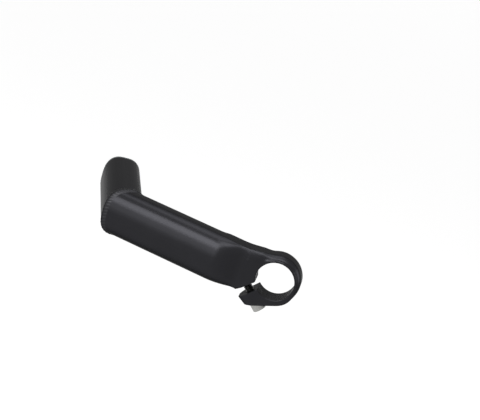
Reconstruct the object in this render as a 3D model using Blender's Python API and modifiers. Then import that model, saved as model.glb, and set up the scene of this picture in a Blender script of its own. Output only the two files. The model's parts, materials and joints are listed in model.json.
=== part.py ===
"""Bicycle bar end: a splayed oval arm with a split clamp ring, a mitred and welded tip tube,
a push-in end plug and a socket head clamp screw with its washer.

World frame, metres: the origin is the centre of the clamp bore, +X runs inboard along the
handlebar, +Y forward and +Z up. The arm leaves the clamp forward and leans inboard.
"""
import math

import bmesh
import bpy
from mathutils import Matrix, Vector

MM = 0.001

# Fit between pieces
CONTACT_GAP = 0.3 * MM
SEAT_CLEARANCE = 0.4 * MM

# Clamp ring
BORE_DIAMETER = 22.2 * MM
BORE_CHAMFER = 0.25 * MM
RING_WALL = 3.2 * MM
RING_WIDTH = 13.2 * MM
RING_EDGE_ROUND = 1.1 * MM
EDGE_SHARPER_THAN = math.radians(40.0)
SHADING_CREASE = math.radians(35.0)

# Oval tube of the arm and the tip
TUBE_HEIGHT = 27.7 * MM
TUBE_WIDTH = 22.8 * MM
TUBE_WALL = 2.2 * MM
TUBE_SQUARENESS = 3.0

# Arm
ARM_LENGTH = 101.4 * MM
ARM_SPLAY = math.radians(16.5)
ARM_OUTSET = 9.7 * MM
ARM_RISE = 0.7 * MM
ARM_HOLLOW_LENGTH = 56.0 * MM

# Scooped transition from the oval arm to the flat clamp
SCOOP_START = 38.0 * MM
SCOOP_END = 20.0 * MM
SHOULDER_START = 34.0 * MM
SHOULDER_END = 15.0 * MM
SQUARE_END = 14.0 * MM
CROWN_START = 36.0 * MM
CROWN_DIP = 1.1 * MM
CROWN_SINK = 0.2 * MM
BELLY_DROP = 0.2 * MM
NECK_EDGE_ROUND = 1.6 * MM
NECK_END = 1.0 * MM
NECK_SINK = 0.04 * MM
CLAMP_ROOT_FALL = math.radians(25.0)
CLAMP_ROOT_REACH = 24.0 * MM

# Tip
BEND_ANGLE = math.radians(58.0)
TIP_LENGTH = 59.6 * MM
TIP_END_LEAN = math.radians(4.0)

# Slit and jaws, in the slit's own directions: along it away from the bore, and across it
SLIT_ANGLE = math.radians(45.6)
SLIT_WIDTH = 4.3 * MM
SLIT_OFFSET = 2.6 * MM
LOWER_JAW_OVERHANG = 7.8 * MM
LOWER_JAW_DRAFT = 2.2 * MM
UPPER_JAW_OVERHANG = 7.7 * MM
UPPER_JAW_DEPTH = 7.0 * MM
JAW_FLARE = math.radians(19.0)

# Clamp screw, M5 x 20 with a hexagon socket, and its washer
SCREW_DIAMETER = 5.0 * MM
SCREW_LENGTH = 20.0 * MM
SCREW_TIP_CHAMFER = 0.6 * MM
SCREW_TO_BORE = 3.0 * MM
HEAD_DIAMETER = 8.5 * MM
HEAD_HEIGHT = 5.0 * MM
HEAD_EDGE_ROUND = 0.4 * MM
SOCKET_WIDTH = 4.0 * MM
SOCKET_DEPTH = 2.6 * MM
WASHER_DIAMETER = 10.0 * MM
WASHER_THICKNESS = 1.0 * MM
SEAT_DEPTH = 5.8 * MM
WASHER_BEVEL = 0.15 * MM
THREAD_RUN_OUT = 1.2 * MM
DRILL_POINT_ANGLE = math.radians(31.0)

# Weld bead over the mitre
BEAD_WIDTH = 5.4 * MM
BEAD_HEIGHT = 0.5 * MM
BEAD_ROOT = 1.0 * MM
BEAD_SHOULDER_REACH = 0.55
BEAD_SHOULDER_RISE = 0.8
BEAD_CORNER_FILL = 0.25
BEAD_RIPPLE = 0.14 * MM
BEAD_RIPPLE_PITCH = 2.9 * MM

# End plug
PLUG_FLANGE = 2.0 * MM
PLUG_EDGE_ROUND = 0.5 * MM
PLUG_EDGE_KNEE = 0.15 * MM
PLUG_SKIRT_LENGTH = 12.0 * MM
PLUG_SKIRT_WALL = 1.6 * MM
PLUG_LEAD_IN = 0.8 * MM

# Facets
OVAL_POINTS = 56
NECK_STATIONS = 24
RING_FACETS = 72
SCREW_FACETS = 32
BEAD_POINTS_PER_RIPPLE = 4
OVERSHOOT = 10.0 * MM

# Places worked out from the sizes above
BORE_RADIUS = BORE_DIAMETER / 2
RING_RADIUS = BORE_RADIUS + RING_WALL
HALF_RING = RING_WIDTH / 2
SCREW_REACH = BORE_RADIUS + SCREW_TO_BORE + SCREW_DIAMETER / 2
SLIT_TOP = SLIT_OFFSET + SLIT_WIDTH / 2
SLIT_FLOOR = SLIT_OFFSET - SLIT_WIDTH / 2
SEAT_LEVEL = SLIT_FLOOR - SEAT_DEPTH
WASHER_LEVEL = SEAT_LEVEL - CONTACT_GAP - WASHER_THICKNESS
HEAD_LEVEL = WASHER_LEVEL - CONTACT_GAP

ARM_ALONG = Vector((math.sin(ARM_SPLAY), math.cos(ARM_SPLAY), 0))
ARM_ACROSS = Vector((math.cos(ARM_SPLAY), -math.sin(ARM_SPLAY), 0))
TIP_ANGLE = ARM_SPLAY + BEND_ANGLE
TIP_ALONG = Vector((math.sin(TIP_ANGLE), math.cos(TIP_ANGLE), 0))
TIP_ACROSS = Vector((math.cos(TIP_ANGLE), -math.sin(TIP_ANGLE), 0))
UP = Vector((0, 0, 1))
ARM_START = Vector((-ARM_OUTSET, 0, ARM_RISE))
BEND_POINT = ARM_START + ARM_ALONG * ARM_LENGTH
MITRE_NORMAL = (ARM_ALONG + TIP_ALONG).normalized()
TIP_END_NORMAL = (TIP_ALONG - UP * math.tan(TIP_END_LEAN)).normalized()


def clear_scene():
    for old in list(bpy.data.objects):
        bpy.data.objects.remove(old, do_unlink=True)


def new_collection(name):
    collection = bpy.data.collections.new(name)
    bpy.context.scene.collection.children.link(collection)
    return collection


def new_material(name, colour, roughness, metallic):
    material = bpy.data.materials.new(name)
    material.use_nodes = True
    shader = material.node_tree.nodes["Principled BSDF"]
    shader.inputs["Base Color"].default_value = (*colour, 1)
    shader.inputs["Roughness"].default_value = roughness
    shader.inputs["Metallic"].default_value = metallic
    return material


def add_object(name, mesh, collection, material=None, parent=None):
    item = bpy.data.objects.new(name, mesh)
    collection.objects.link(item)
    item.parent = parent
    if material:
        mesh.materials.append(material)
    return item


def as_tool(item):
    item.hide_render = True
    item.display_type = "WIRE"
    return item


def add_boolean(item, operation, other, name):
    cut = item.modifiers.new(name, "BOOLEAN")
    cut.operation = operation
    cut.solver = "EXACT"
    cut.object = other
    return cut


def smooth_shading(item):
    item.data.shade_smooth()
    item.data.set_sharp_from_angle(angle=SHADING_CREASE)


def ease(value):
    value = min(max(value, 0.0), 1.0)
    return value * value * (3 - 2 * value)


def mix(start, end, share):
    return start + (end - start) * share


def oval(half_width, half_height, squareness, count=OVAL_POINTS):
    """Points (across, up) of a superellipse, anticlockwise."""
    points = []
    for step in range(count):
        turn = 2 * math.pi * (step + 0.5) / count
        c = math.cos(turn)
        s = math.sin(turn)
        across = math.copysign(abs(c) ** (2 / squareness), c) * half_width
        up = math.copysign(abs(s) ** (2 / squareness), s) * half_height
        points.append((across, up))
    return points


def rounded_box(half_width, half_height, radius, count=OVAL_POINTS):
    """Points (across, up) of a rectangle with round corners, in step with oval."""
    points = []
    for step in range(count):
        turn = 2 * math.pi * (step + 0.5) / count
        c = math.cos(turn)
        s = math.sin(turn)
        across = math.copysign(half_width - radius, c) + radius * c
        up = math.copysign(half_height - radius, s) + radius * s
        points.append((across, up))
    return points


def tube_oval(inset=0.0, count=OVAL_POINTS):
    return oval(TUBE_WIDTH / 2 - inset, TUBE_HEIGHT / 2 - inset, TUBE_SQUARENESS, count)


def ring_on_plane(outline, centre, along, across, plane_point, plane_normal):
    """The outline, swept along a straight tube, where it meets a plane."""
    ring = []
    for side, up in outline:
        point = centre + across * side + UP * up
        travel = (plane_point - point).dot(plane_normal) / along.dot(plane_normal)
        ring.append(point + along * travel)
    return ring


def loft_mesh(name, rings, closed=False):
    """A solid through rings of equal count, capped at both ends or closed into a loop."""
    work = bmesh.new()
    loops = [[work.verts.new(point) for point in ring] for ring in rings]
    pairs = list(zip(loops, loops[1:]))
    if closed:
        pairs.append((loops[-1], loops[0]))
    else:
        work.faces.new(loops[0])
        work.faces.new(loops[-1])
    for lower, upper in pairs:
        count = len(lower)
        for index in range(count):
            after = (index + 1) % count
            work.faces.new((lower[index], lower[after], upper[after], upper[index]))
    bmesh.ops.recalc_face_normals(work, faces=work.faces)
    mesh = bpy.data.meshes.new(name)
    work.to_mesh(mesh)
    work.free()
    return mesh


def turned_mesh(name, profile, facets):
    """A solid turned about local Z from a profile of (radius, height), top to bottom."""
    mesh = bpy.data.meshes.new(name)
    edges = [(index, index + 1) for index in range(len(profile) - 1)]
    mesh.from_pydata([(radius, 0, height) for radius, height in profile], edges, [])
    guide = bpy.data.objects.new(name + "_profile", mesh)
    bpy.context.scene.collection.objects.link(guide)
    screw = guide.modifiers.new("turn", "SCREW")
    screw.steps = facets
    screw.render_steps = facets
    screw.use_merge_vertices = True
    screw.merge_threshold = 0.00001
    evaluated = guide.evaluated_get(bpy.context.evaluated_depsgraph_get())
    turned = bpy.data.meshes.new_from_object(evaluated)
    turned.name = name
    bpy.data.objects.remove(guide, do_unlink=True)
    work = bmesh.new()
    work.from_mesh(turned)
    bmesh.ops.remove_doubles(work, verts=work.verts, dist=0.00001)
    bmesh.ops.recalc_face_normals(work, faces=work.faces)
    work.to_mesh(turned)
    work.free()
    return turned


def extruded_mesh(name, outline, half_depth):
    """A flat outline in local XY, extruded both ways along local Z."""
    curve = bpy.data.curves.new(name, "CURVE")
    curve.dimensions = "2D"
    curve.fill_mode = "BOTH"
    curve.extrude = half_depth
    spline = curve.splines.new("POLY")
    spline.points.add(len(outline) - 1)
    for point, (across, up) in zip(spline.points, outline):
        point.co = (across, up, 0, 1)
    spline.use_cyclic_u = True
    guide = bpy.data.objects.new(name, curve)
    bpy.context.scene.collection.objects.link(guide)
    evaluated = guide.evaluated_get(bpy.context.evaluated_depsgraph_get())
    mesh = bpy.data.meshes.new_from_object(evaluated)
    bpy.data.objects.remove(guide, do_unlink=True)
    work = bmesh.new()
    work.from_mesh(mesh)
    bmesh.ops.remove_doubles(work, verts=work.verts, dist=0.00001)
    bmesh.ops.dissolve_limit(work, angle_limit=0.001, verts=work.verts, edges=work.edges)
    bmesh.ops.recalc_face_normals(work, faces=work.faces)
    work.to_mesh(mesh)
    work.free()
    return mesh


def box_mesh(name, low, high):
    work = bmesh.new()
    bmesh.ops.create_cube(work, size=1)
    size = Vector(high) - Vector(low)
    centre = (Vector(high) + Vector(low)) / 2
    bmesh.ops.transform(work, matrix=Matrix.Translation(centre) @ Matrix.Diagonal((*size, 1)), verts=work.verts)
    mesh = bpy.data.meshes.new(name)
    work.to_mesh(mesh)
    work.free()
    return mesh


def arc(radius, start, end, count):
    steps = [start + (end - start) * index / (count - 1) for index in range(count)]
    return [Vector((radius * math.cos(turn), radius * math.sin(turn))) for turn in steps]


def slit_point(along, across):
    """A point of the YZ plane from its distances along and across the slit."""
    forward = along * math.cos(SLIT_ANGLE) + across * math.sin(SLIT_ANGLE)
    up = across * math.cos(SLIT_ANGLE) - along * math.sin(SLIT_ANGLE)
    return Vector((forward, up))


def tube_edge(y, side):
    """X of the arm tube's inboard (side 1) or outboard (side -1) flank at a given Y."""
    centre = ARM_START.x + y * math.tan(ARM_SPLAY)
    return centre + side * TUBE_WIDTH / 2 / math.cos(ARM_SPLAY)


def neck_ring(y):
    """Section of the arm at Y, from the plain oval down to the flat clamp."""
    scoop = ease((SCOOP_START - y) / (SCOOP_START - SCOOP_END))
    shoulder = ease((SHOULDER_START - y) / (SHOULDER_START - SHOULDER_END))
    square = ease((SCOOP_START - y) / (SCOOP_START - SQUARE_END))
    crown = min(max((CROWN_START - y) / (CROWN_START - NECK_END), 0.0), 1.0)
    flank = HALF_RING - NECK_SINK
    outboard = mix(tube_edge(y, -1), -flank, scoop)
    inboard = mix(tube_edge(y, 1), flank, shoulder)
    dip = CROWN_DIP * math.sin(math.pi * crown) ** 2
    top = mix(ARM_RISE + TUBE_HEIGHT / 2, RING_RADIUS - CROWN_SINK, ease(crown)) - dip
    bottom = ARM_RISE - TUBE_HEIGHT / 2 - BELLY_DROP * scoop
    half_width = (inboard - outboard) / 2
    half_height = (top - bottom) / 2
    middle = Vector(((inboard + outboard) / 2, y, (top + bottom) / 2))
    round_section = oval(half_width, half_height, TUBE_SQUARENESS)
    square_section = rounded_box(half_width, half_height, NECK_EDGE_ROUND)
    ring = []
    for soft, hard in zip(round_section, square_section):
        across = mix(soft[0], hard[0], square)
        up = mix(soft[1], hard[1], square)
        ring.append(middle + Vector((across, 0, up)))
    return ring


def arm_mesh():
    rings = []
    for index in range(NECK_STATIONS):
        rings.append(neck_ring(mix(NECK_END, SCOOP_START, index / (NECK_STATIONS - 1))))
    mitre = BEND_POINT - MITRE_NORMAL * CONTACT_GAP / 2
    rings.append(ring_on_plane(tube_oval(), ARM_START, ARM_ALONG, ARM_ACROSS, mitre, MITRE_NORMAL))
    return loft_mesh("arm", rings)


def clamp_outline():
    """The clamp seen along the handlebar: the ring, both jaws and a root inside the neck."""
    upper_tangent = math.pi / 2 - CLAMP_ROOT_FALL
    lower_tangent = math.pi * 1.5 - JAW_FLARE
    outline = arc(RING_RADIUS, upper_tangent, lower_tangent, RING_FACETS // 2)
    ring_end = outline[-1]
    lower_end = SCREW_REACH + LOWER_JAW_OVERHANG
    upper_end = SCREW_REACH + UPPER_JAW_OVERHANG
    flare = Vector((math.cos(JAW_FLARE), -math.sin(JAW_FLARE)))
    along = slit_point(1, 0)
    run = (lower_end - LOWER_JAW_DRAFT - ring_end.dot(along)) / flare.dot(along)
    outline.append(ring_end + flare * run)
    outline.append(slit_point(lower_end, SLIT_OFFSET))
    outline.append(slit_point(upper_end, SLIT_OFFSET))
    outline.append(slit_point(upper_end, SLIT_TOP + UPPER_JAW_DEPTH))
    start = outline[0]
    fall = (CLAMP_ROOT_REACH - start.x) * math.tan(CLAMP_ROOT_FALL)
    outline.append(Vector((CLAMP_ROOT_REACH, start.y - fall)))
    return outline


def jaw_plan():
    """The jaws seen along the screw: straight flanks and a full round end."""
    centre = SCREW_REACH + UPPER_JAW_OVERHANG - HALF_RING
    end = arc(HALF_RING, math.pi / 2, -math.pi / 2, SCREW_FACETS // 2 + 1)
    plan = [Vector((centre + point.x, point.y)) for point in end]
    back = -RING_RADIUS - OVERSHOOT
    plan.append(Vector((back, -HALF_RING)))
    plan.append(Vector((back, HALF_RING)))
    return plan


def build_clamp_block(tools, slit_frame):
    """Solid clamp end: its outline along the bar, rounded in plan along the screw."""
    block_mesh = extruded_mesh("clamp_block", clamp_outline(), HALF_RING + OVERSHOOT)
    block = as_tool(add_object("clamp_block", block_mesh, tools))
    block.rotation_euler = Matrix(((0, 0, 1), (1, 0, 0), (0, 1, 0))).to_euler()
    plan_mesh = extruded_mesh("jaw_plan", jaw_plan(), 2 * RING_RADIUS + OVERSHOOT)
    plan = as_tool(add_object("jaw_plan", plan_mesh, tools, parent=slit_frame))
    plan.rotation_euler = Matrix(((0, 1, 0), (1, 0, 0), (0, 0, -1))).to_euler()
    add_boolean(block, "INTERSECT", plan, "round jaw ends")
    bevel = block.modifiers.new("round edges", "BEVEL")
    bevel.width = RING_EDGE_ROUND
    bevel.segments = 3
    bevel.limit_method = "ANGLE"
    bevel.angle_limit = EDGE_SHARPER_THAN
    return block


def bore_profile():
    """Half section of the handlebar bore's cutter, with a chamfer at each mouth."""
    flare = OVERSHOOT + BORE_CHAMFER
    return [
        (0, HALF_RING + OVERSHOOT),
        (BORE_RADIUS + flare, HALF_RING + OVERSHOOT),
        (BORE_RADIUS, HALF_RING - BORE_CHAMFER),
        (BORE_RADIUS, BORE_CHAMFER - HALF_RING),
        (BORE_RADIUS + flare, -HALF_RING - OVERSHOOT),
        (0, -HALF_RING - OVERSHOOT),
    ]


def screw_hole_profile():
    """Half section of the screw hole: tapped blind end, slit and washer seat."""
    hole = SCREW_DIAMETER / 2 + CONTACT_GAP
    seat = WASHER_DIAMETER / 2 + SEAT_CLEARANCE
    end = HEAD_LEVEL + SCREW_LENGTH + THREAD_RUN_OUT
    return [
        (0, end + hole * math.tan(DRILL_POINT_ANGLE)),
        (hole, end),
        (hole, SEAT_LEVEL),
        (seat, SEAT_LEVEL),
        (seat, HEAD_LEVEL - HEAD_HEIGHT - OVERSHOOT),
        (0, HEAD_LEVEL - HEAD_HEIGHT - OVERSHOOT),
    ]


def hollow_mesh():
    """Inside of the arm tube, from the solid clamp end out past the mitre."""
    outline = tube_oval(TUBE_WALL)
    start = BEND_POINT - ARM_ALONG * ARM_HOLLOW_LENGTH
    closed_end = ring_on_plane(outline, ARM_START, ARM_ALONG, ARM_ACROSS, start, ARM_ALONG)
    past = BEND_POINT + MITRE_NORMAL * TUBE_WALL
    mouth = ring_on_plane(outline, ARM_START, ARM_ALONG, ARM_ACROSS, past, MITRE_NORMAL)
    return loft_mesh("arm_hollow", [closed_end, mouth])


def mitre_curve(count):
    """The mitre's outer edge with its outward directions."""
    plane_point = BEND_POINT
    edge = ring_on_plane(tube_oval(0, count), ARM_START, ARM_ALONG, ARM_ACROSS, plane_point, MITRE_NORMAL)
    inner = ring_on_plane(tube_oval(TUBE_WALL, count), ARM_START, ARM_ALONG, ARM_ACROSS, plane_point, MITRE_NORMAL)
    return edge, [(out - back).normalized() for out, back in zip(edge, inner)]


def bead_mesh(name, clearance=0.0, rippled=True):
    """A ring of weld metal: two toes on the tubes, a crown between them and a root below."""
    perimeter = math.pi * (TUBE_WIDTH + TUBE_HEIGHT) / 2
    ripples = round(perimeter / BEAD_RIPPLE_PITCH)
    count = ripples * BEAD_POINTS_PER_RIPPLE
    edge, outward = mitre_curve(count)
    flank = math.atan2(BEAD_ROOT + CONTACT_GAP, BEAD_WIDTH / 2)
    toe = BEAD_WIDTH / 2 + clearance / math.sin(flank)
    root = BEAD_ROOT + clearance / math.cos(flank)
    shoulder = toe * BEAD_SHOULDER_REACH
    lines = [[] for _ in range(6)]
    for index, (point, out) in enumerate(zip(edge, outward)):
        wave = math.cos(2 * math.pi * index / BEAD_POINTS_PER_RIPPLE) if rippled else 0.0
        corner = out.dot((ARM_ALONG - TIP_ALONG).normalized())
        fill = math.sin(BEND_ANGLE / 2) * BEAD_WIDTH * BEAD_CORNER_FILL
        crown = BEAD_HEIGHT + clearance + BEAD_RIPPLE * wave - corner * fill
        lift = mix(CONTACT_GAP, crown, BEAD_SHOULDER_RISE)
        lines[0].append(point - ARM_ALONG * toe + out * CONTACT_GAP)
        lines[1].append(point - ARM_ALONG * shoulder + out * lift)
        lines[2].append(point + out * crown)
        lines[3].append(point + TIP_ALONG * shoulder + out * lift)
        lines[4].append(point + TIP_ALONG * toe + out * CONTACT_GAP)
        lines[5].append(point - out * root)
    return loft_mesh(name, lines, closed=True)


def tip_tube_mesh():
    """The hollow tip tube, mitred at the arm and square at its end."""
    end_point = BEND_POINT + TIP_ALONG * (TIP_LENGTH - PLUG_FLANGE - CONTACT_GAP)
    mitre = BEND_POINT + MITRE_NORMAL * CONTACT_GAP / 2
    rings = []
    for inset, ends in ((0.0, (mitre, end_point)), (TUBE_WALL, (end_point, mitre))):
        for place in ends:
            normal = MITRE_NORMAL if place is mitre else TIP_END_NORMAL
            rings.append(ring_on_plane(tube_oval(inset), BEND_POINT, TIP_ALONG, TIP_ACROSS, place, normal))
    return loft_mesh("tip_tube", rings, closed=True)


def plug_mesh():
    """The end plug: a flange of the tube's outline and a hollow skirt, lofted as one skin."""
    skirt = TUBE_WALL + CONTACT_GAP
    cup = skirt + PLUG_SKIRT_WALL
    back = PLUG_FLANGE + PLUG_SKIRT_LENGTH
    stations = [
        (PLUG_EDGE_ROUND, 0.0),
        (PLUG_EDGE_KNEE, PLUG_EDGE_KNEE),
        (0.0, PLUG_EDGE_ROUND),
        (0.0, PLUG_FLANGE),
        (skirt, PLUG_FLANGE),
        (skirt, back - PLUG_LEAD_IN),
        (skirt + PLUG_LEAD_IN / 2, back),
        (cup, back),
        (cup, PLUG_FLANGE),
    ]
    rings = []
    for inset, depth in stations:
        place = BEND_POINT + TIP_ALONG * (TIP_LENGTH - depth)
        rings.append(ring_on_plane(tube_oval(inset), BEND_POINT, TIP_ALONG, TIP_ACROSS, place, TIP_END_NORMAL))
    return loft_mesh("end_plug", rings)


def screw_mesh():
    """Socket head cap screw about local Z, head down, its seat at the local origin."""
    head = HEAD_DIAMETER / 2
    shank = SCREW_DIAMETER / 2
    profile = [
        (0, SCREW_LENGTH),
        (shank - SCREW_TIP_CHAMFER, SCREW_LENGTH),
        (shank, SCREW_LENGTH - SCREW_TIP_CHAMFER),
        (shank, 0),
        (head, 0),
        (head, HEAD_EDGE_ROUND - HEAD_HEIGHT),
        (head - HEAD_EDGE_ROUND, -HEAD_HEIGHT),
        (0, -HEAD_HEIGHT),
    ]
    return turned_mesh("clamp_screw", profile, SCREW_FACETS)


def socket_mesh():
    """Hexagon driver recess, widening below the head's end face."""
    work = bmesh.new()
    corner = SOCKET_WIDTH / math.sqrt(3)
    depth = SOCKET_DEPTH + OVERSHOOT
    bmesh.ops.create_cone(work, cap_ends=True, segments=6, radius1=corner, radius2=corner, depth=depth)
    bmesh.ops.translate(work, vec=(0, 0, SOCKET_DEPTH - HEAD_HEIGHT - depth / 2), verts=work.verts)
    mesh = bpy.data.meshes.new("hex_socket")
    work.to_mesh(mesh)
    work.free()
    return mesh


def washer_mesh():
    """Plain washer about local Z, its lower face at the local origin."""
    inner = SCREW_DIAMETER / 2 + CONTACT_GAP
    outer = WASHER_DIAMETER / 2
    profile = [
        (inner, WASHER_THICKNESS),
        (outer - WASHER_BEVEL, WASHER_THICKNESS),
        (outer, WASHER_THICKNESS - WASHER_BEVEL),
        (outer, WASHER_BEVEL),
        (outer - WASHER_BEVEL, 0),
        (inner, 0),
        (inner, WASHER_THICKNESS),
    ]
    return turned_mesh("washer", profile, SCREW_FACETS)


def build_arm(parts, tools, slit_frame, screw_axis, finish):
    arm = add_object("arm", arm_mesh(), parts, finish)
    block = build_clamp_block(tools, slit_frame)
    join = add_boolean(arm, "UNION", block, "clamp end")
    join.use_self = True

    hollow = as_tool(add_object("arm_hollow", hollow_mesh(), tools))
    add_boolean(arm, "DIFFERENCE", hollow, "tube inside")

    bore = as_tool(add_object("handlebar_bore", turned_mesh("bore", bore_profile(), RING_FACETS), tools))
    bore.rotation_euler = (0, math.pi / 2, 0)
    add_boolean(arm, "DIFFERENCE", bore, "handlebar bore")

    low = (-TUBE_WIDTH, BORE_RADIUS / 2, SLIT_FLOOR)
    high = (TUBE_WIDTH, SCREW_REACH + UPPER_JAW_OVERHANG + OVERSHOOT, SLIT_TOP)
    slit = as_tool(add_object("slit", box_mesh("slit", low, high), tools, parent=slit_frame))
    add_boolean(arm, "DIFFERENCE", slit, "slit")

    hole_mesh = turned_mesh("screw_hole", screw_hole_profile(), SCREW_FACETS)
    hole = as_tool(add_object("screw_hole", hole_mesh, tools, parent=screw_axis))
    add_boolean(arm, "DIFFERENCE", hole, "screw hole")
    return arm


def build_tip(parts, tools, arm, finish, bead_finish, plug_finish):
    tip = add_object("tip_tube", tip_tube_mesh(), parts, finish)
    groove = as_tool(add_object("weld_groove", bead_mesh("weld_groove", CONTACT_GAP, False), tools))
    for tube in (arm, tip):
        add_boolean(tube, "DIFFERENCE", groove, "weld groove")
    bead = add_object("weld_bead", bead_mesh("weld_bead"), parts, bead_finish)
    plug = add_object("end_plug", plug_mesh(), parts, plug_finish)
    return [tip, bead, plug]


def build_screw(parts, tools, screw_axis, steel, washer_steel):
    screw = add_object("clamp_screw", screw_mesh(), parts, steel, screw_axis)
    screw.location = (0, 0, HEAD_LEVEL)
    socket = as_tool(add_object("hex_socket", socket_mesh(), tools, parent=screw))
    add_boolean(screw, "DIFFERENCE", socket, "hexagon socket")
    washer = add_object("washer", washer_mesh(), parts, washer_steel, screw_axis)
    washer.location = (0, 0, WASHER_LEVEL)
    return [screw, washer]


def build():
    clear_scene()
    parts = new_collection("bicycle_bar_end")
    tools = new_collection("cutters")

    slit_frame = add_object("slit_frame", None, parts)
    slit_frame.rotation_euler = (-SLIT_ANGLE, 0, 0)
    screw_axis = add_object("screw_axis", None, parts, parent=slit_frame)
    screw_axis.location = (0, SCREW_REACH, 0)
    bpy.context.view_layer.update()

    anodised = new_material("satin_black_aluminium", (0.045, 0.045, 0.05), 0.38, 0.6)
    weld = new_material("painted_weld", (0.05, 0.05, 0.055), 0.45, 0.6)
    plastic = new_material("dark_plastic", (0.05, 0.06, 0.065), 0.6, 0.0)
    steel = new_material("bright_steel", (0.62, 0.62, 0.63), 0.28, 1.0)
    washer_steel = new_material("zinc_steel", (0.55, 0.56, 0.57), 0.35, 1.0)

    arm = build_arm(parts, tools, slit_frame, screw_axis, anodised)
    pieces = [arm]
    pieces += build_tip(parts, tools, arm, anodised, weld, plastic)
    pieces += build_screw(parts, tools, screw_axis, steel, washer_steel)
    for piece in pieces:
        smooth_shading(piece)
    bpy.context.view_layer.update()


build()
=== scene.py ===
"""Looks of a bicycle bar end: a satin black oval arm with a split clamp ring, a mitred and
welded tip tube, a moulded end plug, and a bright socket head clamp screw with its washer.

Metres, in the part's own frame: +X inboard along the handlebar, +Y forward, +Z up, and the
origin in the middle of the clamp bore.
"""

import json
import math

import bmesh
import bpy
from mathutils import Matrix, Vector


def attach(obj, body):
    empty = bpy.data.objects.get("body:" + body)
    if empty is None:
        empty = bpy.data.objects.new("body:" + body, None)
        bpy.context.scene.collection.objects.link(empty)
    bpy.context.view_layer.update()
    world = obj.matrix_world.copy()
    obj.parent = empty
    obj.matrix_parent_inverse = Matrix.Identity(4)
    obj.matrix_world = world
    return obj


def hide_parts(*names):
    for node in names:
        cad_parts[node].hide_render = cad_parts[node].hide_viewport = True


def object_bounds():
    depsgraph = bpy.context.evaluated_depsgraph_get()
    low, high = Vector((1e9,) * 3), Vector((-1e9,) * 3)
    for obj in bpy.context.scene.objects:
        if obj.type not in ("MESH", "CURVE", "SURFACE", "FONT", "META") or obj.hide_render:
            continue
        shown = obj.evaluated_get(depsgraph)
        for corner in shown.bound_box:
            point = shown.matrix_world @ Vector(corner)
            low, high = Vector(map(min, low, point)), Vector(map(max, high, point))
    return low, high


MM = 0.001
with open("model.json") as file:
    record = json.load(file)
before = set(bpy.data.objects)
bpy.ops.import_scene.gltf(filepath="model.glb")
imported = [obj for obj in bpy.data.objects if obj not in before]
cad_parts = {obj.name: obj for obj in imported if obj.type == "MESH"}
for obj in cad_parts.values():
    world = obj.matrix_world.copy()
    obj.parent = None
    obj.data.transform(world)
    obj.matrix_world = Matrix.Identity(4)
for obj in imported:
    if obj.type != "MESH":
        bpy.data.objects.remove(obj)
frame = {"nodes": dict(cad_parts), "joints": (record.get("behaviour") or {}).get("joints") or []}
cad_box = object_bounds()
bpy.context.scene.view_settings.view_transform = "Standard"

# Camera: a short telephoto beside the clamp, looking inboard and down along the arm's flank.
# Its place, direction and roll are the photograph's, fitted to the oval tube and the bore.
camera_place = Vector((-0.7409, -0.0227, 0.2721))
camera_aim = Vector((0.9488, 0.0686, -0.3084))
camera_roll = math.radians(17.5)
lens = bpy.data.cameras.new("camera")
lens.sensor_width = 36.0
lens.lens = 105.5
lens.clip_start = 0.05
lens.clip_end = 40.0
camera = bpy.data.objects.new("camera", lens)
bpy.context.scene.collection.objects.link(camera)
level = camera_aim.to_track_quat("-Z", "Y").to_matrix() @ Matrix.Rotation(camera_roll, 3, "Z")
camera.matrix_world = Matrix.Translation(camera_place) @ level.to_4x4()
bpy.context.scene.camera = camera

# Studio: a wide pale floor well below the part, and a plain surround. Both are white to the
# camera and in reflections. Five softboxes and a dimmer sky light the part plainly.
floor_drop = 0.3
floor_reach = 8.0
floor_sides = 96
floor_shade = 0.3
floor_glow = 0.9
sky_fill = 0.12
seen_white = 1.0
softbox_distance = 0.75
softboxes = {
    "key_softbox": {"direction": (-0.55, 0.5, 0.59), "size": 0.45, "watts": 4.1},
    "flank_softbox": {"direction": (-0.78, 0.6, 0.15), "size": 0.45, "watts": 1.2},
    "top_softbox": {"direction": (-0.3, 0.05, 0.93), "size": 0.4, "watts": 2.25},
    "rear_softbox": {"direction": (0.3, -0.9, 0.25), "size": 0.45, "watts": 2.0},
    "inner_softbox": {"direction": (0.42, 0.2, 0.88), "size": 0.45, "watts": 1.6},
}
mix_colour_inputs = (6, 7)
mix_colour_output = 2


class Signal:
    """A node's output socket, used in arithmetic."""

    def __init__(self, board, socket):
        self.board = board
        self.socket = socket

    def other(self, output):
        return Signal(self.board, self.socket.node.outputs[output])

    def _joined(self, operation, first, second=0.0):
        return self.board.add("ShaderNodeMath", {"operation": operation}, {0: first, 1: second})

    def __add__(self, value):
        return self._joined("ADD", self, value)

    def __sub__(self, value):
        return self._joined("SUBTRACT", self, value)

    def __rsub__(self, value):
        return self._joined("SUBTRACT", value, self)

    def __mul__(self, value):
        return self._joined("MULTIPLY", self, value)

    def __truediv__(self, value):
        return self._joined("DIVIDE", self, value)

    def __lt__(self, value):
        return self._joined("LESS_THAN", self, value)

    def __abs__(self):
        return self._joined("ABSOLUTE", self)

    __radd__ = __add__
    __rmul__ = __mul__


class Board:
    """A node tree, wired up by one method."""

    def __init__(self, tree):
        self.tree = tree

    def add(self, kind, settings=None, sockets=None, output=0):
        node = self.tree.nodes.new(kind)
        for name, value in (settings or {}).items():
            setattr(node, name, value)
        self.feed(node, sockets or {})
        return Signal(self, node.outputs[output])

    def feed(self, node, sockets):
        for name, value in sockets.items():
            if isinstance(value, Signal):
                self.tree.links.new(value.socket, node.inputs[name])
            else:
                node.inputs[name].default_value = value

    def blend(self, share, first, second):
        """One colour or the other by a share, each given as three numbers or as a signal."""
        sockets = {0: share}
        for place, shade in zip(mix_colour_inputs, (first, second)):
            sockets[place] = shade if isinstance(shade, Signal) else (*shade, 1)
        return self.add("ShaderNodeMix", {"data_type": "RGBA"}, sockets, mix_colour_output)


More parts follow.
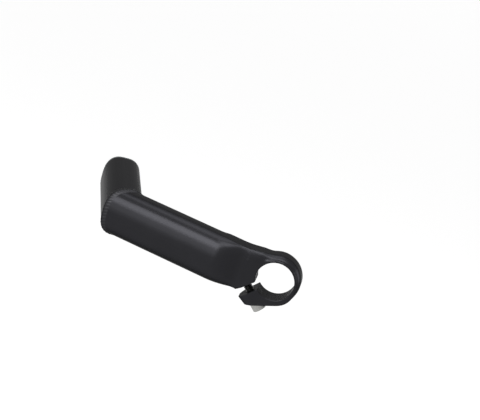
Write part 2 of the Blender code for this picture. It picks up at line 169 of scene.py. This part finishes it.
def seen_directly(board):
    """1 for the rays that show a background, and 0 for those that light the part."""
    ray = board.add("ShaderNodeLightPath", output="Is Camera Ray")
    total = ray + ray.other("Is Glossy Ray") + ray.other("Is Transmission Ray")
    return board.add("ShaderNodeClamp", sockets={"Value": total})


world = bpy.data.worlds.new("studio")
world.use_nodes = True
bpy.context.scene.world = world
sky = Board(world.node_tree)
strength = sky_fill + seen_directly(sky) * (seen_white - sky_fill)
sky.feed(world.node_tree.nodes["Background"], {"Color": (1, 1, 1, 1), "Strength": strength})

for name, box in softboxes.items():
    light = bpy.data.lights.new(name, "AREA")
    light.size = box["size"]
    light.energy = box["watts"]
    lamp = bpy.data.objects.new(name, light)
    direction = Vector(box["direction"]).normalized()
    lamp.location = direction * softbox_distance
    lamp.rotation_mode = "QUATERNION"
    lamp.rotation_quaternion = direction.to_track_quat("Z", "Y")
    bpy.context.scene.collection.objects.link(lamp)

floor_work = bmesh.new()
bmesh.ops.create_circle(floor_work, cap_ends=True, segments=floor_sides, radius=floor_reach)
bmesh.ops.translate(floor_work, vec=(0, 0, cad_box[0].z - floor_drop), verts=floor_work.verts)
floor_mesh = bpy.data.meshes.new("floor")
floor_work.to_mesh(floor_mesh)
floor_work.free()
floor_paint = bpy.data.materials.new("floor_white")
floor_paint.use_nodes = True
paint = Board(floor_paint.node_tree)
glow = paint.blend(seen_directly(paint), (0, 0, 0), (floor_glow, floor_glow, floor_glow))
paint.feed(
    floor_paint.node_tree.nodes["Principled BSDF"],
    {
        "Base Color": (floor_shade, floor_shade, floor_shade, 1),
        "Roughness": 1.0,
        "Emission Color": glow,
        "Emission Strength": 1.0,
    },
)
floor_mesh.materials.append(floor_paint)
floor = bpy.data.objects.new("floor", floor_mesh)
bpy.context.scene.collection.objects.link(floor)

# Arm: an oval alloy tube whose rear end is flattened, bored and slit into the handlebar clamp.
# Forged and machined in one piece, blasted fine and anodised satin black all over.
tube_width = 22.8 * MM
tube_height = 27.7 * MM
tube_roundness = 2.6
tube_core = 0.2
arm_start = Vector((-9.7 * MM, 0, 0.7 * MM))
arm_splay = math.radians(16.5)
clamp_half_width = 6.6 * MM
clamp_radius = 14.3 * MM
scoop_start = 38.0 * MM
scoop_end = 20.0 * MM
shoulder_start = 34.0 * MM
shoulder_end = 15.0 * MM
crown_start = 36.0 * MM
clamp_squareness = 2.6
clamp_inner_squareness = 8.0
clamp_end = 12.0 * MM
clamp_crown_root = 7.0 * MM
clamp_flat_end = 11.7 * MM
clamp_facet = 0.8 * MM
clamp_cut_end = 18.0 * MM
arm_black = (0.0215, 0.0215, 0.0240)
arm_black_cloud = (0.0250, 0.0250, 0.0280)
arm_metal = 0.75
arm_gloss = 0.11
arm_edge_tint = (0.17, 0.17, 0.17, 1)
arm_roughness = 0.26
arm_grain_roughness = 0.05
arm_cloud_roughness = 0.03
arm_grain = 0.35 * MM
arm_grain_depth = 0.012 * MM
arm_cloud = 12.0 * MM
arm_crease = math.radians(32)
merge_reach = 0.002 * MM
merge_angle = 0.002
cut_reach = 0.001 * MM
bore_radius = 11.1 * MM
bore_tool_pitch = 0.22 * MM
bore_tool_depth = 0.006 * MM
bore_skin = 0.12 * MM


class Finish(Board):
    """A surface finish: one Principled shader and the nodes that vary it."""

    def __init__(self, name, **constants):
        self.material = bpy.data.materials.new(name)
        self.material.use_nodes = True
        super().__init__(self.material.node_tree)
        self.shader = self.tree.nodes["Principled BSDF"]
        self.set(**constants)
        self.place = self.add("ShaderNodeTexCoord", output="Object")

    def set(self, **sockets):
        self.feed(self.shader, {name.replace("_", " "): value for name, value in sockets.items()})

    def noise(self, size, detail=2.0):
        sockets = {"Vector": self.place, "Scale": 1 / size, "Detail": detail}
        return self.add("ShaderNodeTexNoise", sockets=sockets)

    def bump(self, height, depth):
        sockets = {"Height": height, "Strength": 1.0, "Distance": depth}
        self.set(Normal=self.add("ShaderNodeBump", sockets=sockets))


def ease(value):
    value = min(max(value, 0.0), 1.0)
    return value * value * (3 - 2 * value)


def mix(start, end, share):
    return start + (end - start) * share


def worn_round(across, up, roundness):
    """How far a point of a soft rectangle draws in, for its section to be as round as drawn tube."""
    reach = abs(across) ** roundness + abs(up) ** roundness
    return min(reach ** (-1 / roundness), 1.0) if reach > tube_core else 1.0


def round_arm(point):
    """The point of the arm, drawn in to a soft oval, and to a round edge outboard on the clamp."""
    square = ease((scoop_start - point.y) / (scoop_start - clamp_end))
    scoop = ease((scoop_start - point.y) / (scoop_start - scoop_end))
    shoulder = ease((shoulder_start - point.y) / (shoulder_start - shoulder_end))
    crown = ease((crown_start - point.y) / crown_start)
    middle = arm_start.x + point.y * math.tan(arm_splay)
    flank = tube_width / 2 / math.cos(arm_splay)
    outboard = mix(middle - flank, -clamp_half_width, scoop)
    inboard = mix(middle + flank, clamp_half_width, shoulder)
    top = mix(arm_start.z + tube_height / 2, clamp_radius, crown)
    bottom = arm_start.z - tube_height / 2
    half = (top - bottom) / 2
    upper = point.z > bottom + half
    depth = mix(half, clamp_radius - clamp_crown_root, square) if upper else half
    off = Vector((point.x - (inboard + outboard) / 2, 0, point.z - (top - depth)))
    if upper:
        off.z = max(off.z, 0.0)
    across = off.x / (inboard - outboard) * 2
    from_axis = math.hypot(point.y, point.z)
    clamp_side = clamp_squareness if across < 0 else clamp_inner_squareness
    roundness = mix(tube_roundness, clamp_side, square)
    neck_worn = off * (worn_round(across, off.z / depth, roundness) - 1)
    neck_share = ease((point.z + point.y) / clamp_end)
    wall = from_axis - clamp_crown_root
    rim = min(point.x / clamp_half_width, 0.0)
    draw = 1 - worn_round(rim, wall / (clamp_radius - clamp_crown_root), clamp_squareness)
    ring_worn = Vector((point.x, point.y * wall / from_axis, point.z * wall / from_axis)) * -draw
    ring_share = ease((clamp_end + point.z) / clamp_end)
    in_neck = ease(point.y / clamp_end)
    outer = ease((from_axis - clamp_flat_end) / (clamp_radius - clamp_flat_end))
    return point + mix(ring_worn * ring_share, neck_worn * neck_share, in_neck) * outer


def clamp_cuts(work):
    """Cut the clamp end into small facets, for its edges to be drawn round."""
    steps = math.ceil(clamp_cut_end / clamp_facet)
    for axis in (Vector((1, 0, 0)), Vector((0, 1, 0)), Vector((0, 0, 1))):
        for step in range(-steps, steps + 1):
            faces = [face for face in work.faces if face.calc_center_median().y < clamp_cut_end]
            edges = list({edge for face in faces for edge in face.edges})
            points = list({point for face in faces for point in face.verts})
            bmesh.ops.bisect_plane(
                work,
                geom=points + edges + faces,
                dist=cut_reach,
                plane_co=axis * step * clamp_facet,
                plane_no=axis,
            )


def merged_copy(name, node, crease, reshape=None, cut=None):
    """The node's surface as one welded mesh, with soft shading between its sharp edges."""
    work = bmesh.new()
    work.from_mesh(frame["nodes"][node].data)
    bmesh.ops.remove_doubles(work, verts=work.verts, dist=merge_reach)
    bmesh.ops.dissolve_limit(work, angle_limit=merge_angle, verts=work.verts, edges=work.edges)
    if cut:
        cut(work)
    if reshape:
        for vertex in work.verts:
            vertex.co = reshape(vertex.co)
    mesh = bpy.data.meshes.new(name)
    work.to_mesh(mesh)
    work.free()
    mesh.materials.clear()
    mesh.shade_smooth()
    mesh.set_sharp_from_angle(angle=crease)
    piece = bpy.data.objects.new(name, mesh)
    bpy.context.scene.collection.objects.link(piece)
    weighted = piece.modifiers.new("even shading", "WEIGHTED_NORMAL")
    weighted.keep_sharp = True
    return piece


satin_black = Finish(
    "satin_black_anodised",
    Metallic=arm_metal,
    Specular_IOR_Level=arm_gloss,
    Specular_Tint=arm_edge_tint,
)
cloud = satin_black.noise(arm_cloud, 3.0)
grain = satin_black.noise(arm_grain)
spot = satin_black.add("ShaderNodeSeparateXYZ", sockets={0: satin_black.place}, output="Y")
from_axis = satin_black.add(
    "ShaderNodeMath",
    {"operation": "SQRT"},
    {0: spot * spot + spot.other("Z") * spot.other("Z")},
)
in_bore = abs(from_axis - bore_radius) < bore_skin
tool_marks = satin_black.add(
    "ShaderNodeMath",
    {"operation": "SINE"},
    {0: spot.other("X") * (2 * math.pi / bore_tool_pitch)},
)
satin_black.set(
    Base_Color=satin_black.blend(cloud, arm_black, arm_black_cloud),
    Roughness=arm_roughness + grain * arm_grain_roughness + cloud * arm_cloud_roughness,
)
turned = in_bore * tool_marks * (bore_tool_depth / arm_grain_depth)
satin_black.bump(grain * (1 - in_bore) + turned, arm_grain_depth)

arm = merged_copy("arm_skin", "arm", arm_crease, round_arm, clamp_cuts)
arm.data.materials.append(satin_black.material)
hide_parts("arm")
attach(arm, "bar_end")

# Tip tube: a short length of the same oval alloy tube, mitred at its rear and turned inboard.
# Sawn from drawn tube and anodised with the arm once it is welded on.
arm_length = 101.4 * MM
bend_angle = math.radians(58.0)
arm_along = Vector((math.sin(arm_splay), math.cos(arm_splay), 0))
tip_along = Vector((math.sin(arm_splay + bend_angle), math.cos(arm_splay + bend_angle), 0))
tip_across = Vector((tip_along.y, -tip_along.x, 0))
bend_point = arm_start + arm_along * arm_length


def round_tip(point):
    """The point of the tip, drawn in to the oval of the drawn tube."""
    off = point - bend_point
    across = off.dot(tip_across)
    share = worn_round(across / tube_width * 2, off.z / tube_height * 2, tube_roundness)
    return point + (tip_across * across + Vector((0, 0, off.z))) * (share - 1)


tip = merged_copy("tip_tube_skin", "tip_tube", arm_crease, round_tip)
tip.data.materials.append(satin_black.material)
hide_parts("tip_tube")
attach(tip, "bar_end")

# Weld bead: one run of filler laid round the mitre, a row of overlapping lens-shaped ripples.
# Its toes flow out onto both tubes, it fills the inside of the bend, and is anodised with them.
bead_half_width = 3.7 * MM
bead_height = 0.6 * MM
bead_toe_sink = 0.12 * MM
bead_root = 1.3 * MM
bead_corner_round = 0.35
bead_inset = 2.0 * MM
bead_fine_steps = 2000
ripple_pitch = 1.9 * MM
ripple_height = 0.3 * MM
ripple_bow = 0.75
ripple_scatter = 0.35
ripple_patch = 2.4 * MM
ripple_level = 0.5
ripple_uneven = 0.6
points_per_ripple = 10
points_across = 15
weld_black = (0.025, 0.025, 0.0275)
weld_black_scaled = (0.038, 0.038, 0.041)
weld_scale = 0.8 * MM
weld_scale_depth = 0.03 * MM
weld_roughness = 0.36
weld_scale_roughness = 0.1


def lofted(name, rings, closed=False):
    """A closed skin through rings of equal count, capped at both ends or joined into a loop."""
    work = bmesh.new()
    loops = [[work.verts.new(point) for point in ring] for ring in rings]
    pairs = list(zip(loops, loops[1:]))
    if closed:
        pairs.append((loops[-1], loops[0]))
    else:
        work.faces.new(loops[0])
        work.faces.new(loops[-1])
    for lower, upper in pairs:
        for index, point in enumerate(lower):
            after = (index + 1) % len(lower)
            work.faces.new((point, lower[after], upper[after], upper[index]))
    bmesh.ops.recalc_face_normals(work, faces=work.faces)
    mesh = bpy.data.meshes.new(name)
    work.to_mesh(mesh)
    work.free()
    return mesh


def note(mesh, name, kind, values):
    """Keep one value for each point of the mesh, under a name that a node tree can read."""
    field = "vector" if kind == "FLOAT_VECTOR" else "value"
    attribute = mesh.attributes.new(name, kind, "POINT")
    for entry, value in zip(attribute.data, values):
        setattr(entry, field, value)


class Shaping(Board):
    """A geometry tree with named sizes, which moves a mesh's points along a noted direction."""

    def __init__(self, name, **sizes):
        super().__init__(bpy.data.node_groups.new(name, "GeometryNodeTree"))
        face = self.tree.interface
        face.new_socket("Geometry", in_out="INPUT", socket_type="NodeSocketGeometry")
        self.identifiers = {}
        for size in sizes:
            made = face.new_socket(size, in_out="INPUT", socket_type="NodeSocketFloat")
            self.identifiers[size] = made.identifier
        finish_socket = face.new_socket("Finish", in_out="INPUT", socket_type="NodeSocketMaterial")
        self.identifiers["Finish"] = finish_socket.identifier
        face.new_socket("Geometry", in_out="OUTPUT", socket_type="NodeSocketGeometry")
        self.sizes = sizes
        self.given = self.add("NodeGroupInput")

    def size(self, name):
        return self.given.other(name)

    def noted(self, name, kind="FLOAT"):
        return self.add("GeometryNodeInputNamedAttribute", {"data_type": kind}, {"Name": name})

    def close(self, rise):
        """Lift every point by rise along its noted outward direction, and end the tree."""
        outward = self.noted("outward", "FLOAT_VECTOR")
        offset = self.add("ShaderNodeVectorMath", {"operation": "SCALE"}, {0: outward, "Scale": rise})
        moved = self.add("GeometryNodeSetPosition", sockets={"Geometry": self.given, "Offset": offset})
        real = self.add("GeometryNodeRealizeInstances", sockets={"Geometry": moved})
        sockets = {"Geometry": real, "Material": self.size("Finish")}
        coated = self.add("GeometryNodeSetMaterial", sockets=sockets)
        self.feed(self.tree.nodes.new("NodeGroupOutput"), {"Geometry": coated})

    def shape(self, name, mesh, finish):
        """The mesh as the tree shapes it, as a plain object."""
        guide = bpy.data.objects.new(name, mesh)
        bpy.context.scene.collection.objects.link(guide)
        modifier = guide.modifiers.new(self.tree.name, "NODES")
        modifier.node_group = self.tree
        for size, value in self.sizes.items():
            modifier[self.identifiers[size]] = value
        modifier[self.identifiers["Finish"]] = finish
        evaluated = guide.evaluated_get(bpy.context.evaluated_depsgraph_get())
        shaped = bpy.data.meshes.new_from_object(evaluated)
        shaped.name = name
        guide.modifiers.clear()
        guide.data = shaped
        return guide


def mitre_points(inset, count):
    """Points evenly spaced along the mitre's edge, the oval tube set in by an amount."""
    across = Vector((arm_along.y, -arm_along.x, 0))
    normal = (arm_along + tip_along).normalized()
    points = []
    for step in range(count):
        turn = 2 * math.pi * step / count
        side = math.copysign(abs(math.cos(turn)) ** (2 / tube_roundness), math.cos(turn))
        up = math.copysign(abs(math.sin(turn)) ** (2 / tube_roundness), math.sin(turn))
        rise = Vector((0, 0, up * (tube_height / 2 - inset)))
        point = bend_point + across * side * (tube_width / 2 - inset) + rise
        points.append(point + arm_along * ((bend_point - point).dot(normal) / arm_along.dot(normal)))
    return points


def bead_mesh():
    """The plain bead: a low arch swept round the mitre, with its places noted for the ripples."""
    fine = bead_fine_steps
    edge = mitre_points(0.0, fine)
    inner = mitre_points(bead_inset, fine)
    run = [0.0]
    for index in range(fine):
        run.append(run[-1] + (edge[(index + 1) % fine] - edge[index]).length)
    ripples = round(run[-1] / ripple_pitch)
    stations = ripples * points_per_ripple
    rings = []
    places = []
    sides = []
    weights = []
    outwards = []
    index = 0
    for station in range(stations):
        share = station / stations
        while run[index + 1] < share * run[-1]:
            index += 1
        point = edge[index]
        out = (edge[index] - inner[index]).normalized()
        ring = []
        for step in range(points_across):
            side = 2 * step / (points_across - 1) - 1
            arch = 1 - side * side
            spread = math.hypot(side, bead_corner_round)
            reach = [(way * side + spread) / 2 * bead_half_width for way in (-1, 1)]
            lift = bead_height * arch - bead_toe_sink
            ring.append(point - arm_along * reach[0] + tip_along * reach[1] + out * lift)
            sides.append(side)
            weights.append(arch)
        ring.append(point - out * bead_root)
        sides.append(0.0)
        weights.append(0.0)
        places += [share * ripples] * len(ring)
        outwards += [out] * len(ring)
        rings.append(ring)
    mesh = lofted("weld_bead_plain", rings, closed=True)
    note(mesh, "ripple", "FLOAT", places)
    note(mesh, "side", "FLOAT", sides)
    note(mesh, "weight", "FLOAT", weights)
    note(mesh, "outward", "FLOAT_VECTOR", outwards)
    return mesh


painted_weld = Finish(
    "anodised_weld",
    Metallic=arm_metal,
    Specular_IOR_Level=arm_gloss,
    Specular_Tint=arm_edge_tint,
)
scale = painted_weld.noise(weld_scale, 3.0)
painted_weld.set(
    Base_Color=painted_weld.blend(scale, weld_black, weld_black_scaled),
    Roughness=weld_roughness + scale * weld_scale_roughness,
)
painted_weld.bump(scale, weld_scale_depth)

ripples = Shaping(
    "weld_ripples",
    Height=ripple_height,
    Bow=ripple_bow,
    Scatter=ripple_scatter,
    Level=ripple_level,
    Uneven=ripple_uneven,
)
side = ripples.noted("side")
patch = ripples.add(
    "ShaderNodeTexNoise",
    sockets={
        "Scale": 1 / ripple_patch,
        "Detail": 1.0,
        "Vector": ripples.add("GeometryNodeInputPosition"),
    },
)
phase = ripples.noted("ripple") + side * side * ripples.size("Bow") + patch * ripples.size("Scatter")
crest = abs(ripples.add("ShaderNodeMath", {"operation": "SINE"}, {0: phase * math.pi}))
mean = ripples.size("Level")
wave = crest - mean + (patch - mean) * ripples.size("Uneven")
ripples.close(wave * ripples.size("Height") * ripples.noted("weight"))

weld = ripples.shape("weld_bead_run", bead_mesh(), painted_weld.material)
weld.data.shade_smooth()
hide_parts("weld_bead")
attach(weld, "bar_end")

# End plug: matt dark plastic, moulded with a flange and a hollow skirt, pushed into the tip.
# The flange has the tube's outline and hides its sawn end.
plug_grey = (0.026, 0.031, 0.033)
plug_grey_worn = (0.040, 0.046, 0.048)
plug_grain = 0.4 * MM
plug_grain_depth = 0.02 * MM
plug_gloss = 0.4
plug_roughness = 0.5
plug_grain_roughness = 0.1
plug_plastic = Finish("moulded_plastic", Specular_IOR_Level=plug_gloss)
moulded = plug_plastic.noise(plug_grain, 3.0)
plug_plastic.set(
    Base_Color=plug_plastic.blend(moulded, plug_grey, plug_grey_worn),
    Roughness=plug_roughness + moulded * plug_grain_roughness,
)
plug_plastic.bump(moulded, plug_grain_depth)
plug = merged_copy("end_plug_skin", "end_plug", arm_crease, round_tip)
plug.data.materials.append(plug_plastic.material)
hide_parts("end_plug")
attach(plug, "bar_end")

# Washer: a plain punched steel ring, zinc plated, between the screw's head and the jaw.
# It turns freely and travels with the screw.
zinc_shade = (0.34, 0.35, 0.36)
zinc_shade_bright = (0.44, 0.44, 0.45)
zinc_spangle = 0.8 * MM
zinc_roughness = 0.3
zinc_spangle_roughness = 0.15
washer_crease = math.radians(30)
zinc = Finish("zinc_plating", Metallic=1.0)
spangle = zinc.noise(zinc_spangle)
zinc.set(
    Base_Color=zinc.blend(spangle, zinc_shade, zinc_shade_bright),
    Roughness=zinc_roughness + spangle * zinc_spangle_roughness,
)
washer = merged_copy("washer_skin", "washer", washer_crease)
washer.data.materials.append(zinc.material)
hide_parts("washer")
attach(washer, "carried_washer")

# Clamp screw: an M5 by 20 cap screw with a knurled head and a hexagon socket, cold headed,
# rolled and plated. It passes the lower jaw freely, and its thread holds in the upper one. The
# threaded length is coloured dark, a painted shade for the slit between the jaws.
screw_radius = 2.5 * MM
screw_length = 20.0 * MM
screw_tip_chamfer = 0.6 * MM
thread_pitch = 0.8 * MM
thread_depth = 0.44 * MM
thread_start = 0.9 * MM
head_radius = 4.25 * MM
head_height = 5.0 * MM
head_edge_round = 0.4 * MM
head_seat = 6.95 * MM
head_edge_steps = 4
head_plain_top = 0.3 * MM
head_plain_foot = 0.5 * MM
head_foot_round = 0.25 * MM
knurl_teeth = 32
knurl_depth = 0.16 * MM
socket_half_width = 2.0 * MM
socket_depth = 2.6 * MM
socket_lead = 0.25 * MM
socket_drill_depth = 0.5 * MM
socket_drill_share = 0.2
points_round = 128
rings_per_thread = 10
thread_flank = 1.3
thread_land = 0.15
screw_shade = (0.26, 0.26, 0.25)
screw_shade_bright = (0.36, 0.36, 0.35)
# Painted shade: the dark colour of the threaded length, standing in for the shade between the jaws.
thread_painted_shade = (0.05, 0.05, 0.048)
screw_brush = 0.6 * MM
screw_roughness = 0.26
screw_brush_roughness = 0.12
screw_crease = math.radians(40)


def hexagon(turn, half_width):
    """Radius of a hexagon, flat to flat twice the half width, in a direction."""
    return half_width / math.cos((turn + math.pi / 6) % (math.pi / 3) - math.pi / 6)


def screw_mesh():
    """The smooth screw about local Z, its seat at zero and its tip up, with places noted."""
    stations = []
    floor_level = socket_depth - head_height
    lead_top = socket_half_width / math.cos(math.pi / 6) + socket_lead
    stations.append((socket_drill_share, 0.0, floor_level + socket_drill_depth, 0, 0))
    stations.append((1.0, 0.0, floor_level, 0, 0))
    stations.append((1.0, 0.0, socket_lead - head_height, 0, 0))
    stations.append((0.0, lead_top, -head_height, 0, 0))
    stations.append((0.0, head_radius - head_edge_round, -head_height, 0, 0))
    for step in range(1, head_edge_steps + 1):
        turn = math.pi / 2 * step / head_edge_steps
        radius = head_radius - head_edge_round * (1 - math.sin(turn))
        stations.append((0.0, radius, -head_height + head_edge_round * (1 - math.cos(turn)), 0, 0))
    stations.append((0.0, head_radius, head_plain_top + head_edge_round - head_height, 1, 0))
    stations.append((0.0, head_radius, -head_plain_foot, 1, 0))
    stations.append((0.0, head_radius, -head_foot_round, 0, 0))
    stations.append((0.0, head_radius - head_foot_round, 0.0, 0, 0))
    stations.append((0.0, screw_radius, 0.0, 0, 0))
    stations.append((0.0, screw_radius, thread_start, 0, 0))
    threaded = screw_length - screw_tip_chamfer - thread_start
    count = round(threaded / thread_pitch * rings_per_thread)
    for step in range(1, count + 1):
        share = min(step / rings_per_thread, 1.0)
        stations.append((0.0, screw_radius, thread_start + threaded * step / count, 0, share))
    stations.append((0.0, screw_radius - screw_tip_chamfer, screw_length, 0, 0))
    rings = []
    knurled = []
    threads = []
    for hexed, radius, height, knurl, thread in stations:
        ring = []
        for step in range(points_round):
            turn = 2 * math.pi * step / points_round
            here = hexagon(turn, socket_half_width) * hexed if hexed else radius
            ring.append(Vector((here * math.cos(turn), here * math.sin(turn), height)))
        rings.append(ring)
        knurled += [knurl] * points_round
        threads += [thread] * points_round
    mesh = lofted("clamp_screw_smooth", rings)
    note(mesh, "knurled", "FLOAT", knurled)
    note(mesh, "threaded", "FLOAT", threads)
    note(mesh, "turn", "FLOAT", [step / points_round for step in range(points_round)] * len(rings))
    note(mesh, "height", "FLOAT", [vertex.co.z for vertex in mesh.vertices])
    return mesh


bright = Finish("bright_plating", Metallic=1.0)
brushed = bright.noise(screw_brush, 3.0)
# The threaded length takes the painted shade colour; the head keeps the plated colour.
painted_shade_share = bright.add("ShaderNodeAttribute", {"attribute_name": "threaded"}, output="Fac")
plated = bright.blend(brushed, screw_shade, screw_shade_bright)
bright.set(
    Base_Color=bright.blend(painted_shade_share, plated, thread_painted_shade),
    Roughness=screw_roughness + brushed * screw_brush_roughness,
)

grooves = Shaping(
    "knurl_and_thread",
    Teeth=knurl_teeth,
    Knurl=knurl_depth,
    Pitch=thread_pitch,
    Thread=thread_depth,
    Flank=thread_flank,
    Land=thread_land,
)
turn = grooves.noted("turn")
tooth_phase = turn * grooves.size("Teeth") * math.pi
teeth = abs(grooves.add("ShaderNodeMath", {"operation": "SINE"}, {0: tooth_phase}))
thread_phase = grooves.noted("height") / grooves.size("Pitch") - turn
winding = grooves.add("ShaderNodeMath", {"operation": "FRACT"}, {0: thread_phase})
slope = (1 - abs(winding - 0.5) * 2) * grooves.size("Flank") - grooves.size("Land")
valley = grooves.add("ShaderNodeClamp", sockets={"Value": slope})
knurl_cut = (1 - teeth) * grooves.size("Knurl") * grooves.noted("knurled")
thread_cut = valley * grooves.size("Thread") * grooves.noted("threaded")
grooves.close(0 - (knurl_cut + thread_cut))

smooth_screw = screw_mesh()
hinge = next(joint for joint in frame["joints"] if joint["name"] == "screw_turn")
outward = Vector(hinge["axis"]).normalized()
seat = Vector(hinge["pos_m"]) + outward * head_seat
upright = (-outward).to_track_quat("Z", "X").to_matrix().to_4x4()
smooth_screw.transform(Matrix.Translation(seat) @ upright)
sideways = []
for vertex in smooth_screw.vertices:
    off = vertex.co - seat
    sideways.append((off - outward * off.dot(outward)).normalized())
note(smooth_screw, "outward", "FLOAT_VECTOR", sideways)
screw = grooves.shape("clamp_screw_turned", smooth_screw, bright.material)
screw.data.shade_smooth()
screw.data.set_sharp_from_angle(angle=screw_crease)
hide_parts("clamp_screw")
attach(screw, "screw")
